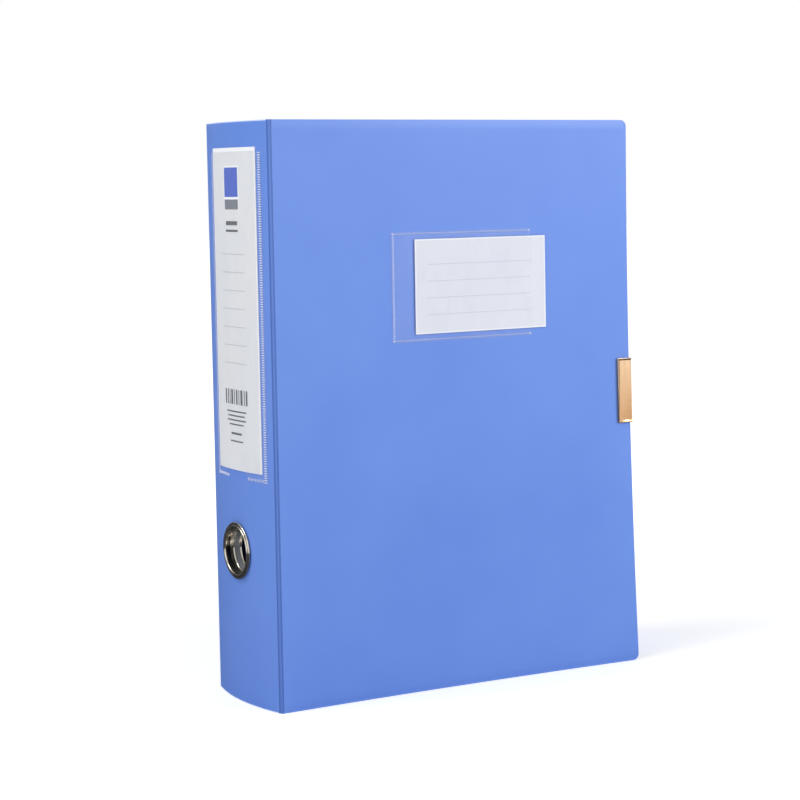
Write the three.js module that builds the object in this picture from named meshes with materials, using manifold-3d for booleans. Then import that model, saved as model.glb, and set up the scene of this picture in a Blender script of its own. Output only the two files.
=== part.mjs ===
// Box file for A4 paper, standing upright on its lower edges.
// Millimetres, +Z up. X runs from the spine to the fore-edge, Y from the front cover to the back panel.
// One polypropylene sheet makes the cover, the spine and the back panel; it folds at two creased strips.

import * as THREE from 'three';
import { mergeVertices } from 'three/addons/utils/BufferGeometryUtils.js';
import Module from 'manifold-3d';

const wasm = await Module();
wasm.setup();

// Overall size, outside the folded sheet
const HEIGHT = 320;
const WIDTH = 236;
const DEPTH = 76;

// Folded sheet
const SHEET = 1.1;
const CREASE_LEG = 1.4;
const CREASE_WEB = 0.5;
const HINGE_GAP = 0.2;
const CORNER_RADIUS = 4;
const SPINE_BOW = 5.2;
const BOW_STEPS = 22;

// Inner wall strip
const WALL = 0.9;
const WALL_INSET = 2;
const FORE_EDGE_INSET = 2.5;
const SPINE_SIDE_INSET = 4;
const WALL_BEND = 3;
const LID_GAP = 2;
const WELD_FLANGE = 14;
const FLANGE_SLIT = 1;
const RETURN_FLAP = 32;
const FLAP_CHAMFER = 14;
const FLAP_SIDE_GAP = 0.8;
const WALL_END_RADIUS = 12;

// Finger ring, an eyelet through the spine
const RING_HEIGHT = 85;
const RING_OUTER = 15.9;
const RING_BORE = 12.8;
const RING_WALL = 0.6;
const RING_PROUD = 2;
const BEAD_RISE = 1;
const BEAD_FOOT = 0.7;
const BEAD_STEPS = 6;
const RING_CLINCH = 0.5;
const RING_FIT = 0.2;
const SEAT_MARGIN = 0.7;
const SEAT_DROP = 0.4;
const SEAT_JOIN = 0.3;
const RING_DEPTH = 7;
const RING_LIP = 1;
const COLLAR = 0.5;
const COLLAR_OUTER = 16;
const COLLAR_FILLET = 0.9;
const RING_SEGMENTS = 48;
const ARC_SEGMENTS = 8;

// Paper cards and the clear film of the pockets
const CARD = 0.4;
const CARD_GAP = 0.2;
const FILM = 0.3;
const FILM_GAP = 0.15;
const FILM_SLOPE = 0.6;

// Spine pocket and its card
const SPINE_FILM_WIDTH = 57;
const SPINE_FILM_BOTTOM = 125;
const SPINE_FILM_HEIGHT = 178.8;
const SPINE_SIDE_WELD = 4;
const SPINE_BOTTOM_WELD = 5;
const THUMB_GAP_WIDTH = 19;
const SPINE_CARD_WIDTH = 48;
const SPINE_CARD_HEIGHT = 175.7;
const POCKET_OFF_CENTRE = 3.4;

// Cover pocket and its card
const COVER_FILM_START = 73.5;
const COVER_FILM_WIDTH = 93.3;
const COVER_FILM_BOTTOM = 197.3;
const COVER_FILM_HEIGHT = 61.7;
const COVER_SIDE_WELD = 4.5;
const COVER_END_WELD = 2.8;
const THUMB_NOTCH_WIDTH = 18.7;
const THUMB_NOTCH_DEPTH = 7.5;
const COVER_CARD_WIDTH = 87.4;
const COVER_CARD_HEIGHT = 52.5;
const COVER_CARD_SLID_OUT = 9.4;

// Metal clasp folded round the fore-edge of the cover
const CLASP_HEIGHT = 38;
const CLASP_CENTRE = 161.5;
const CLASP_FRONT_LEAF = 10;
const CLASP_REAR_LEAF = 7;
const CLASP_FRONT = 1.3;
const CLASP_REAR = 0.6;
const CLASP_BEND = 0.8;
const CLASP_FIT = 0.1;
const CLASP_RIM = 0.7;
const CLASP_FIELD_DEPTH = 0.6;

// Magnet glued behind the return flap
const MAGNET_WIDTH = 9;
const MAGNET_HEIGHT = 30;
const MAGNET_THICKNESS = 3;
const MAGNET_FROM_EDGE = 4;

// A cutter runs this far past the piece that it cuts.
const PAST = 2;

// Corners closer than this are one corner.
const SAME_CORNER = 1e-4;

// The film over a card stands this far off the sheet.
const FIELD_STAND_OFF = CARD_GAP + CARD + CARD_GAP;

// The bowed spine is an arc: its outer face passes through both crease edges.
const MIDDLE = DEPTH / 2;
const POCKET_MIDDLE = MIDDLE - POCKET_OFF_CENTRE;
const BOW_CHORD = DEPTH - 2 * CREASE_LEG;
const BOW_RADIUS = BOW_CHORD ** 2 / (8 * SPINE_BOW) + SPINE_BOW / 2;
const BOW_CENTRE_X = BOW_RADIUS - SPINE_BOW;

function bowX(standOff, y) {
  const radius = BOW_RADIUS + standOff;
  return BOW_CENTRE_X - Math.sqrt(radius ** 2 - (y - MIDDLE) ** 2);
}

// Points of the spine's arc, standOff outside its outer face, from one y to another
function bowPoints(standOff, fromY, toY) {
  const points = [];
  for (let step = 0; step <= BOW_STEPS; step += 1) {
    const y = fromY + ((toY - fromY) * step) / BOW_STEPS;
    points.push(new THREE.Vector2(bowX(standOff, y), y));
  }
  return points;
}

function material(color, roughness, metalness) {
  return new THREE.MeshStandardMaterial({ color, roughness, metalness });
}

function toSolid(geometry) {
  const bare = geometry.clone();
  bare.deleteAttribute('normal');
  bare.deleteAttribute('uv');
  const merged = mergeVertices(bare, SAME_CORNER);
  const mesh = new wasm.Mesh({
    numProp: 3,
    vertProperties: Float32Array.from(merged.attributes.position.array),
    triVerts: Uint32Array.from(merged.index.array),
  });
  return new wasm.Manifold(mesh);
}

function toGeometry(solid) {
  const mesh = solid.getMesh();
  const geometry = new THREE.BufferGeometry();
  geometry.setAttribute('position', new THREE.BufferAttribute(mesh.vertProperties, 3));
  geometry.setIndex(new THREE.BufferAttribute(mesh.triVerts, 1));
  geometry.computeVertexNormals();
  return geometry;
}

// A section drawn in X and Y, raised from one height to another
function column(shape, fromZ, toZ) {
  const options = { depth: toZ - fromZ, bevelEnabled: false, curveSegments: ARC_SEGMENTS };
  return closedMesh(new THREE.ExtrudeGeometry(shape, options).translate(0, 0, fromZ));
}

// Joins the shared corners of a mesh and turns its faces outwards
function closedMesh(geometry) {
  geometry.deleteAttribute('normal');
  geometry.deleteAttribute('uv');
  return flipIfInsideOut(mergeVertices(geometry, SAME_CORNER));
}

// A plate drawn in X and Z, lying between two planes of constant y
function plate(shape, fromY, toY) {
  const options = { depth: toY - fromY, bevelEnabled: false, curveSegments: ARC_SEGMENTS };
  return new THREE.ExtrudeGeometry(shape, options).rotateX(Math.PI / 2).translate(0, toY, 0);
}

function rectangle(x0, z0, x1, z1) {
  const corners = [[x0, z0], [x1, z0], [x1, z1], [x0, z1]];
  return new THREE.Shape(corners.map(([x, z]) => new THREE.Vector2(x, z)));
}

function block(x0, y0, z0, x1, y1, z1) {
  const geometry = new THREE.BoxGeometry(x1 - x0, y1 - y0, z1 - z0);
  return geometry.translate((x0 + x1) / 2, (y0 + y1) / 2, (z0 + z1) / 2);
}

// A low plate with sloping sides on its -Y face: baseY is its foot and topY its top
function raisedPlate(x0, z0, x1, z1, baseY, topY, slope) {
  const positions = [
    [x0, baseY, z0], [x1, baseY, z0], [x1, baseY, z1], [x0, baseY, z1],
    [x0 + slope, topY, z0 + slope], [x1 - slope, topY, z0 + slope],
    [x1 - slope, topY, z1 - slope], [x0 + slope, topY, z1 - slope],
  ];
  const faces = [
    0, 1, 2, 0, 2, 3, 4, 6, 5, 4, 7, 6, 0, 4, 5, 0, 5, 1,
    1, 5, 6, 1, 6, 2, 2, 6, 7, 2, 7, 3, 3, 7, 4, 3, 4, 0,
  ];
  const geometry = new THREE.BufferGeometry();
  geometry.setAttribute('position', new THREE.Float32BufferAttribute(positions.flat(), 3));
  geometry.setIndex(faces);
  return flipIfInsideOut(geometry);
}

// Turns a closed mesh right side out
function flipIfInsideOut(geometry) {
  const position = geometry.attributes.position;
  const index = geometry.index.array;
  const corner = [new THREE.Vector3(), new THREE.Vector3(), new THREE.Vector3()];
  let volume = 0;
  for (let face = 0; face < index.length; face += 3) {
    corner.forEach((point, k) => point.fromBufferAttribute(position, index[face + k]));
    volume += corner[0].dot(corner[1].clone().cross(corner[2]));
  }
  if (volume < 0) geometry.setIndex(Array.from(index).reverse());
  return geometry;
}

// Front cover or back panel: a flat panel from its crease to the fore-edge.
// inward is +1 where the inside of the box lies towards +Y, and -1 where it lies towards -Y.
function sidePanel(outerY, inward) {
  const startX = CREASE_LEG + HINGE_GAP;
  const shape = new THREE.Shape();
  shape.moveTo(startX, 0);
  shape.lineTo(WIDTH - CORNER_RADIUS, 0);
  shape.absarc(WIDTH - CORNER_RADIUS, CORNER_RADIUS, CORNER_RADIUS, -Math.PI / 2, 0, false);
  shape.lineTo(WIDTH, HEIGHT - CORNER_RADIUS);
  shape.absarc(WIDTH - CORNER_RADIUS, HEIGHT - CORNER_RADIUS, CORNER_RADIUS, 0, Math.PI / 2, false);
  shape.lineTo(startX, HEIGHT);
  const innerY = outerY + inward * SHEET;
  const flat = toSolid(plate(shape, Math.min(outerY, innerY), Math.max(outerY, innerY)));
  // The inner edge along the crease is cut back, so that only the web reaches the fold.
  const cutDepth = SHEET - CREASE_WEB;
  const cutSection = [
    new THREE.Vector2(startX - PAST, innerY - inward * (cutDepth + PAST)),
    new THREE.Vector2(startX + cutDepth + PAST, innerY + inward * PAST),
    new THREE.Vector2(startX - PAST, innerY + inward * PAST),
  ];
  const groove = toSolid(column(new THREE.Shape(cutSection), -PAST, HEIGHT + PAST));
  return toGeometry(flat.subtract(groove));
}

// The inner face of a crease strip meets the inner face of the bowed spine at this y.
function innerMitreY() {
  const radius = BOW_RADIUS - SHEET;
  const reach = CREASE_LEG + SHEET * Math.SQRT2 - MIDDLE - BOW_CENTRE_X;
  return MIDDLE + (reach + Math.sqrt(2 * radius ** 2 - reach ** 2)) / 2;
}

// Spine: the bowed middle panel of the sheet, with the sloping crease strip along each long edge
function spinePanel() {
  const mitreY = innerMitreY();
  const stripEnd = SHEET * Math.SQRT2 + HINGE_GAP;
  const outer = bowPoints(0, CREASE_LEG, DEPTH - CREASE_LEG);
  const inner = bowPoints(-SHEET, mitreY, DEPTH - mitreY).reverse();
  const section = [
    new THREE.Vector2(CREASE_LEG, 0),
    ...outer,
    new THREE.Vector2(CREASE_LEG, DEPTH),
    new THREE.Vector2(CREASE_LEG, DEPTH - CREASE_WEB),
    new THREE.Vector2(CREASE_LEG - HINGE_GAP, DEPTH - stripEnd),
    ...inner,
    new THREE.Vector2(CREASE_LEG - HINGE_GAP, stripEnd),
    new THREE.Vector2(CREASE_LEG, CREASE_WEB),
  ];
  const folded = toSolid(column(new THREE.Shape(section), 0, HEIGHT));
  // Round the finger ring the sheet is pressed flat, to a disc that the ring's flange lies on.
  const seatRadius = RING_OUTER + SEAT_MARGIN;
  const opened = folded.subtract(toSolid(alongX(seatRadius, -SPINE_BOW - PAST, PAST)));
  const seat = toSolid(alongX(seatRadius + SEAT_JOIN, ringSeatX(), ringSeatX() + SHEET));
  const holeRadius = RING_BORE + RING_WALL + RING_FIT;
  const hole = toSolid(alongX(holeRadius, ringSeatX() - PAST, ringSeatX() + SHEET + PAST));
  return toGeometry(opened.add(seat).subtract(hole));
}

function ringSeatX() {
  return -SPINE_BOW + SEAT_DROP;
}

// A disc on the finger ring's axis, between two planes of constant x
function alongX(radius, fromX, toX) {
  const geometry = new THREE.CylinderGeometry(radius, radius, toX - fromX, RING_SEGMENTS);
  return geometry.rotateZ(Math.PI / 2).translate((fromX + toX) / 2, MIDDLE, RING_HEIGHT);
}

// Turns a profile of radius and height outwards into a ring on the spine's face
function ringOnSpine(profile) {
  const closed = profile.concat([profile[0]]).map(([radius, out]) => new THREE.Vector2(radius, out));
  const ring = new THREE.LatheGeometry(closed, RING_SEGMENTS);
  return closedMesh(ring.rotateZ(Math.PI / 2).translate(ringSeatX(), MIDDLE, RING_HEIGHT));
}

// Finger ring: a flange with two rolled beads, a barrel through the sheet and a clinched rear lip
function fingerRing() {
  const barrel = RING_BORE + RING_WALL;
  const bead = (RING_OUTER - RING_BORE) / 4;
  const valley = RING_BORE + 2 * bead;
  const profile = [
    [RING_BORE, -RING_DEPTH + RING_WALL],
    [barrel, -RING_DEPTH],
    [barrel + RING_LIP, -RING_DEPTH],
    [barrel + RING_LIP, -RING_DEPTH + RING_CLINCH],
    [barrel, -RING_DEPTH + RING_CLINCH],
    [barrel, 0],
    [RING_OUTER, 0],
    [RING_OUTER, BEAD_FOOT],
    ...beadPoints(valley + bead, bead, BEAD_FOOT),
    ...beadPoints(RING_BORE + bead, bead, RING_PROUD - BEAD_RISE),
  ];
  return ringOnSpine(profile);
}

// A half-round bead of a profile, from its outer to its inner side
function beadPoints(centre, radius, foot) {
  const points = [];
  for (let step = 1; step < BEAD_STEPS; step += 1) {
    const angle = (Math.PI * step) / BEAD_STEPS;
    points.push([centre + radius * Math.cos(angle), foot + BEAD_RISE * Math.sin(angle)]);
  }
  return points;
}

// Collar: the ring's rear half, a flange on the inside of the sheet and a tube round the barrel
function ringCollar() {
  const inner = RING_BORE + RING_WALL + RING_FIT;
  const tube = inner + COLLAR;
  return ringOnSpine([
    [inner, -RING_DEPTH + RING_CLINCH],
    [tube, -RING_DEPTH + RING_CLINCH],
    [tube, -SHEET - COLLAR - COLLAR_FILLET],
    [tube + COLLAR_FILLET, -SHEET - COLLAR],
    [COLLAR_OUTER, -SHEET - COLLAR],
    [COLLAR_OUTER, -SHEET],
    [inner, -SHEET],
  ]);
}

// A curved leaf that follows the bowed spine, centred on the pocket
function bowedLeaf(width, standOff, thickness, fromZ, toZ) {
  const y0 = POCKET_MIDDLE - width / 2;
  const y1 = POCKET_MIDDLE + width / 2;
  const section = [...bowPoints(standOff + thickness, y0, y1), ...bowPoints(standOff, y0, y1).reverse()];
  return column(new THREE.Shape(section), fromZ, toZ);
}

// Spine pocket: clear film, welded along both sides and the bottom, open at the top
function spinePocketFilm() {
  const half = SPINE_FILM_WIDTH / 2;
  const fieldHalf = half - SPINE_SIDE_WELD;
  const footHalf = fieldHalf + FILM_SLOPE;
  const low = FILM_GAP;
  const high = FIELD_STAND_OFF;
  const outer = [
    ...bowPoints(low + FILM, POCKET_MIDDLE - half, POCKET_MIDDLE - footHalf),
    ...bowPoints(high + FILM, POCKET_MIDDLE - fieldHalf, POCKET_MIDDLE + fieldHalf),
    ...bowPoints(low + FILM, POCKET_MIDDLE + footHalf, POCKET_MIDDLE + half),
  ];
  const inner = [
    ...bowPoints(low, POCKET_MIDDLE - half, POCKET_MIDDLE - footHalf),
    ...bowPoints(high, POCKET_MIDDLE - fieldHalf + FILM, POCKET_MIDDLE + fieldHalf - FILM),
    ...bowPoints(low, POCKET_MIDDLE + footHalf, POCKET_MIDDLE + half),
  ];
  const bottomWeldTop = SPINE_FILM_BOTTOM + SPINE_BOTTOM_WELD;
  const filmTop = SPINE_FILM_BOTTOM + SPINE_FILM_HEIGHT;
  const section = new THREE.Shape([...outer, ...inner.reverse()]);
  const sleeve = toSolid(column(section, bottomWeldTop - FILM, filmTop));
  const weld = toSolid(bowedLeaf(SPINE_FILM_WIDTH, low, FILM, SPINE_FILM_BOTTOM, bottomWeldTop - FILM / 2));
  const closing = toSolid(bowedLeaf(2 * fieldHalf, low, high - low + FILM, bottomWeldTop - FILM, bottomWeldTop));
  // Between the two bottom welds the film is cut away, so that a thumb can push the card up.
  const y0 = POCKET_MIDDLE - THUMB_GAP_WIDTH / 2;
  const y1 = POCKET_MIDDLE + THUMB_GAP_WIDTH / 2;
  const x0 = -SPINE_BOW - PAST;
  const thumbGap = toSolid(block(x0, y0, SPINE_FILM_BOTTOM - PAST, 0, y1, bottomWeldTop + PAST));
  return toGeometry(sleeve.add(weld).add(closing).subtract(thumbGap));
}

function spineLabelCard() {
  const bottom = SPINE_FILM_BOTTOM + SPINE_BOTTOM_WELD + CARD_GAP;
  return bowedLeaf(SPINE_CARD_WIDTH, CARD_GAP, CARD, bottom, bottom + SPINE_CARD_HEIGHT);
}

// Cover pocket: clear film on the cover, welded on three sides and open towards the fore-edge
function coverPocketFilm() {
  const x0 = COVER_FILM_START;
  const x1 = COVER_FILM_START + COVER_FILM_WIDTH;
  const z0 = COVER_FILM_BOTTOM;
  const z1 = COVER_FILM_BOTTOM + COVER_FILM_HEIGHT;
  const fieldX0 = x0 + COVER_SIDE_WELD;
  const fieldZ0 = z0 + COVER_END_WELD;
  const fieldZ1 = z1 - COVER_END_WELD;
  const high = FIELD_STAND_OFF;
  const flat = toSolid(plate(rectangle(x0, z0, x1, z1), -FILM, 0));
  const raised = toSolid(
    raisedPlate(fieldX0, fieldZ0, x1 + PAST, fieldZ1, 0, -high - FILM, FILM_SLOPE));
  // The hollow's sides run on past the cover's face at the same slope.
  const run = (FILM_SLOPE * FILM) / high;
  const hollow = toSolid(raisedPlate(
    fieldX0 + FILM - run, fieldZ0 + FILM - run, x1 + 2 * PAST, fieldZ1 - FILM + run,
    FILM, -high, FILM_SLOPE + run));
  const openSide = toSolid(block(x1, -PAST, z0 - PAST, x1 + 3 * PAST, PAST, z1 + PAST));
  const notchRadius = ((THUMB_NOTCH_WIDTH / 2) ** 2 + THUMB_NOTCH_DEPTH ** 2) / (2 * THUMB_NOTCH_DEPTH);
  const notch = new THREE.CylinderGeometry(notchRadius, notchRadius, 2 * PAST, RING_SEGMENTS);
  notch.translate(x1 - THUMB_NOTCH_DEPTH + notchRadius, 0, (z0 + z1) / 2);
  const film = flat.add(raised).subtract(hollow).subtract(openSide);
  return toGeometry(film.subtract(toSolid(notch)));
}

function coverLabelCard() {
  const x1 = COVER_FILM_START + COVER_FILM_WIDTH + COVER_CARD_SLID_OUT;
  const z0 = COVER_FILM_BOTTOM + (COVER_FILM_HEIGHT - COVER_CARD_HEIGHT) / 2;
  const outline = rectangle(x1 - COVER_CARD_WIDTH, z0, x1, z0 + COVER_CARD_HEIGHT);
  return plate(outline, -CARD_GAP - CARD, -CARD_GAP);
}

// Clasp: one strip of metal folded round the cover's edge, with a sunken field in its front leaf
function edgeClasp() {
  const z0 = CLASP_CENTRE - CLASP_HEIGHT / 2;
  const z1 = CLASP_CENTRE + CLASP_HEIGHT / 2;
  const frontX = WIDTH + CLASP_BEND + CLASP_FIT - CLASP_FRONT_LEAF;
  const bendX = WIDTH + CLASP_FIT;
  const section = [
    [frontX, -CLASP_FIT],
    [frontX, -CLASP_FIT - CLASP_FRONT],
    [bendX + CLASP_BEND, -CLASP_FIT - CLASP_FRONT],
    [bendX + CLASP_BEND, SHEET + CLASP_FIT + CLASP_REAR],
    [bendX - CLASP_REAR_LEAF, SHEET + CLASP_FIT + CLASP_REAR],
    [bendX - CLASP_REAR_LEAF, SHEET + CLASP_FIT],
    [bendX, SHEET + CLASP_FIT],
    [bendX, -CLASP_FIT],
  ].map(([x, y]) => new THREE.Vector2(x, y));
  const folded = toSolid(column(new THREE.Shape(section), z0, z1));
  const frontY = -CLASP_FIT - CLASP_FRONT;
  const field = toSolid(fieldCutter(frontX + CLASP_RIM, z0 + CLASP_RIM, WIDTH + PAST, z1 - CLASP_RIM, frontY));
  return toGeometry(folded.subtract(field));
}

// The sunken field's cutter: widest at the face, with sloping sides down to the field
function fieldCutter(x0, z0, x1, z1, faceY) {
  const inset = CLASP_FIELD_DEPTH;
  return raisedPlate(x0 - inset, z0 - inset, x1, z1 + inset, faceY - inset, faceY + inset, 2 * inset);
}

// Inner walls: one strip folded into three walls, with weld flanges on the back panel
// and a return flap under the cover along the fore-edge
function wallStrip() {
  const x0 = SPINE_SIDE_INSET;
  const x1 = WIDTH - FORE_EDGE_INSET;
  const z0 = WALL_INSET;
  const z1 = HEIGHT - WALL_INSET;
  const frontY = SHEET + LID_GAP;
  const backY = DEPTH - SHEET;
  const outer = toSolid(plate(wallOutline(x0, z0, x1, z1, WALL_BEND), frontY, backY));
  const inside = wallOutline(x0 - PAST, z0 + WALL, x1 - WALL, z1 - WALL, WALL_BEND - WALL);
  const walls = outer.subtract(toSolid(plate(inside, frontY - PAST, backY + PAST)));
  const flangePlate = toSolid(plate(wallOutline(x0, z0, x1, z1, WALL_BEND), backY - WALL, backY));
  const flangeInside = rectangle(x0 - PAST, z0 + WELD_FLANGE, x1 - WELD_FLANGE, z1 - WELD_FLANGE);
  const flange = flangePlate.subtract(toSolid(plate(flangeInside, backY - 2 * WALL, backY + WALL)));
  const slits = [1, -1].map((side) => toSolid(mitreSlit(x1, side > 0 ? z0 : z1, side, backY)));
  const flapTop = z1 - WALL - FLAP_SIDE_GAP;
  const flapBottom = z0 + WALL + FLAP_SIDE_GAP;
  const flap = toSolid(plate(flapOutline(x1, flapBottom, flapTop), frontY, frontY + WALL));
  const reliefs = [z0, z1].map((z) => toSolid(wallEndRelief(x0, frontY, z)));
  let strip = walls.add(flange).add(flap);
  for (const cut of [...slits, ...reliefs]) strip = strip.subtract(cut);
  return toGeometry(strip);
}

// Outline in X and Z, square towards the spine and rounded by the strip's bends at the fore-edge
function wallOutline(x0, z0, x1, z1, bend) {
  const shape = new THREE.Shape();
  shape.moveTo(x0, z0);
  shape.lineTo(x1 - bend, z0);
  shape.absarc(x1 - bend, z0 + bend, bend, -Math.PI / 2, 0, false);
  shape.lineTo(x1, z1 - bend);
  shape.absarc(x1 - bend, z1 - bend, bend, 0, Math.PI / 2, false);
  shape.lineTo(x0, z1);
  return shape;
}

// Flap outline: its free edge has cut corners
function flapOutline(x1, z0, z1) {
  const free = x1 - RETURN_FLAP;
  const corners = [
    [x1 - WALL / 2, z0], [x1 - WALL / 2, z1],
    [free + FLAP_CHAMFER, z1], [free, z1 - FLAP_CHAMFER],
    [free, z0 + FLAP_CHAMFER], [free + FLAP_CHAMFER, z0],
  ];
  return new THREE.Shape(corners.map(([x, z]) => new THREE.Vector2(x, z)));
}

// The flanges of two walls meet in a diagonal slit, where the flat strip was notched before folding.
function mitreSlit(cornerX, cornerZ, side, backY) {
  const length = Math.SQRT2 * (WELD_FLANGE - 2 * WALL_BEND + PAST);
  const slit = new THREE.BoxGeometry(length, 4 * WALL, FLANGE_SLIT);
  slit.rotateY(side * (Math.PI / 4));
  const away = WALL_BEND + PAST / 2 + length / (2 * Math.SQRT2);
  return slit.translate(cornerX - away, backY - WALL / 2, cornerZ + side * away);
}

// The top and bottom walls have a rounded corner where they meet the cover beside the spine.
function wallEndRelief(x0, frontY, z) {
  const shape = new THREE.Shape();
  shape.moveTo(x0 - PAST, frontY - PAST);
  shape.lineTo(x0 + WALL_END_RADIUS, frontY - PAST);
  shape.lineTo(x0 + WALL_END_RADIUS, frontY);
  shape.absarc(x0 + WALL_END_RADIUS, frontY + WALL_END_RADIUS, WALL_END_RADIUS, -Math.PI / 2, -Math.PI, true);
  shape.lineTo(x0 - PAST, frontY + WALL_END_RADIUS);
  return column(shape, z - 2 * PAST, z + 2 * PAST);
}

function claspMagnet() {
  const x1 = WIDTH - FORE_EDGE_INSET - MAGNET_FROM_EDGE;
  const y0 = SHEET + LID_GAP + WALL;
  const z0 = CLASP_CENTRE - MAGNET_HEIGHT / 2;
  return block(x1 - MAGNET_WIDTH, y0, z0, x1, y0 + MAGNET_THICKNESS, z0 + MAGNET_HEIGHT);
}

const SHEET_COLOR = '#6f92e6';
const PIECES = [
  ['back_panel', () => sidePanel(DEPTH, -1), SHEET_COLOR, 0.45, 0],
  ['wall_strip', wallStrip, SHEET_COLOR, 0.45, 0],
  ['clasp_magnet', claspMagnet, '#3b3d42', 0.5, 0.6],
  ['spine_panel', spinePanel, SHEET_COLOR, 0.45, 0],
  ['finger_ring', fingerRing, '#b9b7ae', 0.15, 1],
  ['finger_ring_collar', ringCollar, '#b9b7ae', 0.25, 1],
  ['spine_label_card', spineLabelCard, '#e6e8ec', 0.8, 0],
  ['spine_pocket_film', spinePocketFilm, '#dfe6f2', 0.1, 0],
  ['front_cover', () => sidePanel(0, 1), SHEET_COLOR, 0.45, 0],
  ['cover_label_card', coverLabelCard, '#eef0f5', 0.8, 0],
  ['cover_pocket_film', coverPocketFilm, '#dfe6f2', 0.1, 0],
  ['edge_clasp', edgeClasp, '#e3b98a', 0.25, 1],
];

// The origin is under the middle of the whole object's box.
const LOW_X = ringSeatX() - RING_PROUD;
const HIGH_X = WIDTH + CLASP_FIT + CLASP_BEND;
const LOW_Y = -CLASP_FIT - CLASP_FRONT;

const boxFile = new THREE.Group();
boxFile.position.set(-(LOW_X + HIGH_X) / 2, -(LOW_Y + DEPTH) / 2, 0);
for (const [name, make, color, roughness, metalness] of PIECES) {
  const mesh = new THREE.Mesh(make(), material(color, roughness, metalness));
  mesh.name = name;
  boxFile.add(mesh);
}

export default boxFile;
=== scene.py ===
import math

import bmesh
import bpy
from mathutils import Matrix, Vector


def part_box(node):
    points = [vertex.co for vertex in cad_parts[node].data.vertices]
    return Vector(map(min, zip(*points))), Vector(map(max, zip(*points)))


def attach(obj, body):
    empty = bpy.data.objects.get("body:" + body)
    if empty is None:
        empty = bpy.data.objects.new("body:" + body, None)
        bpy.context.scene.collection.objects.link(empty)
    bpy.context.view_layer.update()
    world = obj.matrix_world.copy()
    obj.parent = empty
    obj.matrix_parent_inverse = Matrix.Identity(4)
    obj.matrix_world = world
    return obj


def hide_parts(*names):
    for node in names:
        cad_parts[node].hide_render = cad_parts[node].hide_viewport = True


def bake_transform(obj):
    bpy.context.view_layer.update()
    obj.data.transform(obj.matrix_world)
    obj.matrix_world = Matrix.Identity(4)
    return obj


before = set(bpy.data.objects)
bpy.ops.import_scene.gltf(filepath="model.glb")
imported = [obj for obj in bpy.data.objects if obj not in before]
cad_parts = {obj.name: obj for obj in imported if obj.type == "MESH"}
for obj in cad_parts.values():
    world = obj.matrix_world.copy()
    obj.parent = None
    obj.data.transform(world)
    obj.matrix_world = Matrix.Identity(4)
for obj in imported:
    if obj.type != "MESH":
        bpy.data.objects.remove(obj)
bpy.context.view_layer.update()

# %% [markdown]
# A box file for A4 paper, standing on its lower edges. One sheet of blue polypropylene is folded at two
# creased strips into a cover, a bowed spine and a back panel. The solids that come with the frame are
# plain and faceted. Each visible one gets a finish here, and most are replaced by a finer mesh of the
# same form: real cut edges, rolled metal beads, clear film with a little slack, and toothed weld seams.

MM = 0.001
MM_PER_METRE = 1000

HEIGHT = 320 * MM
WIDTH = 236 * MM
DEPTH = 76 * MM
SHEET = 1.1 * MM
CREASE_LEG = 1.4 * MM
SPINE_BOW = 5.2 * MM
CORNER_RADIUS = 4 * MM

# How far the cover's free edge stands out at its top, at the clasp and at its foot
TOP_SPRING = -1.0 * MM
CLASP_SPRING = 1.7 * MM
FOOT_SPRING = 10.0 * MM

# The sheet's own corner: where the spine and the cover would meet if the crease were sharp
LEFT = Vector(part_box("back_panel")[1]).x - WIDTH
FRONT = Vector(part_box("front_cover")[0]).y
MIDDLE = FRONT + DEPTH / 2
BOW_CHORD = DEPTH - 2 * CREASE_LEG
BOW_RADIUS = BOW_CHORD ** 2 / (8 * SPINE_BOW) + SPINE_BOW / 2
BOW_CENTRE_X = LEFT + BOW_RADIUS - SPINE_BOW
print("sheet corner at x %.1f mm, front face at y %.1f mm" % (LEFT / MM, FRONT / MM))


def bow_x(y, out=0.0):
    """X of the bowed spine at y, at a distance out of its outer face."""
    radius = BOW_RADIUS + out
    return BOW_CENTRE_X - math.sqrt(radius ** 2 - (y - MIDDLE) ** 2)


def on_spine(y, z, out=0.0):
    return Vector((bow_x(y, out), y, z))


def flare(x, z):
    """How far the cover stands out of its plane at x along it and height z."""
    t = z / HEIGHT
    at_foot = FOOT_SPRING * (1 - t) * (1 - 2 * t)
    at_clasp = CLASP_SPRING * 4 * t * (1 - t)
    at_top = TOP_SPRING * t * (2 * t - 1)
    return (at_foot + at_clasp + at_top) * (x / WIDTH) ** 2


def on_cover(x, z, out=0.0):
    """A point on the cover's outer face, x measured from the sheet's corner."""
    return Vector((LEFT + x, FRONT - out - flare(x, z), z))


# %% [markdown]
# Colours are written as they are seen on a screen, so one function turns them to the linear values that
# a shader wants. Another adds a node, gives it its settings and joins it to what feeds it. Noise is given
# by the size of its features in millimetres, so that it can be compared with the real thing.

# %% Colour and node helpers
def linear(hex_colour):
    parts = [int(hex_colour[i:i + 2], 16) / 255 for i in (1, 3, 5)]
    return [c / 12.92 if c <= 0.04045 else ((c + 0.055) / 1.055) ** 2.4 for c in parts] + [1.0]


def add(tree, kind, inputs=None, **settings):
    made = tree.nodes.new(kind)
    for name, value in settings.items():
        setattr(made, name, value)
    for name, value in (inputs or {}).items():
        if isinstance(value, bpy.types.NodeSocket):
            tree.links.new(value, made.inputs[name])
        else:
            made.inputs[name].default_value = value
    return made


def new_material(name, **constants):
    """A material with one Principled shader; the constants go straight on its sockets."""
    made = bpy.data.materials.new(name)
    made.use_nodes = True
    tree = made.node_tree
    shader = tree.nodes["Principled BSDF"]
    for socket, value in constants.items():
        shader.inputs[socket.replace("_", " ")].default_value = value
    where = add(tree, "ShaderNodeTexCoord").outputs["Object"]
    return made, tree, shader, where


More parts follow.
